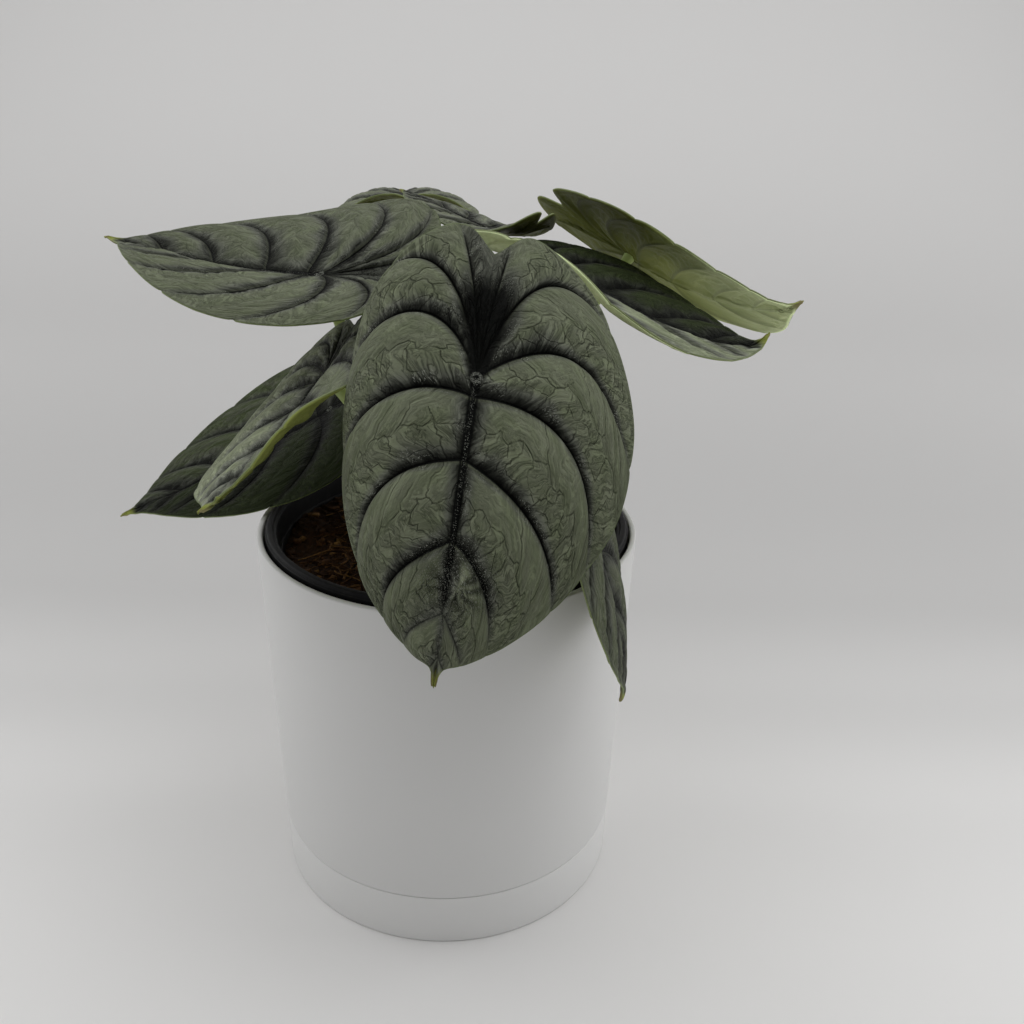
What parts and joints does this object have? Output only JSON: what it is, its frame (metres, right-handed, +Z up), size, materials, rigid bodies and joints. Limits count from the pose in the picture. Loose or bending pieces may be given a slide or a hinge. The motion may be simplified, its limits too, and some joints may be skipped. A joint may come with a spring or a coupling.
{
  "type": "potted silver dragon alocasia",
  "caption": "Compact aroid with quilted silver-grey peltate leaves and dark ribs, in a black nursery pot inside a white cylindrical cover pot on a flush saucer.",
  "frame": {"origin": "centre of the saucer's flat underside, where the pot stands", "axes": "+Z up; -Y is the side of the large front leaf; +X is to the right of a viewer who faces that leaf"},
  "size_m": [0.2882, 0.3072, 0.2995],
  "materials": {
    "cover": "smooth satin white",
    "nursery": "satin black",
    "mix": "rough coarse bark and fibre",
    "corm": "dry, ringed",
    "blade": "thick, quilted, soft sheen",
    "petiole": "smooth, fleshy"
  },
  "bodies": {
    "root": {"saucer": "cover", "cover_pot": "cover", "nursery_pot": "nursery", "soil": "mix", "rhizome": "corm", "blade_front": "blade", "petiole_front": "petiole", "blade_left": "blade", "petiole_left": "petiole", "blade_left_folded": "blade", "petiole_left_folded": "petiole", "blade_left_low": "blade", "petiole_left_low": "petiole", "blade_right": "blade", "petiole_right": "petiole", "blade_right_back": "blade", "petiole_right_back": "petiole", "blade_back": "blade", "petiole_back": "petiole", "blade_middle": "blade", "petiole_middle": "petiole", "blade_right_low": "blade", "petiole_right_low": "petiole"}
  },
  "joints": []
}
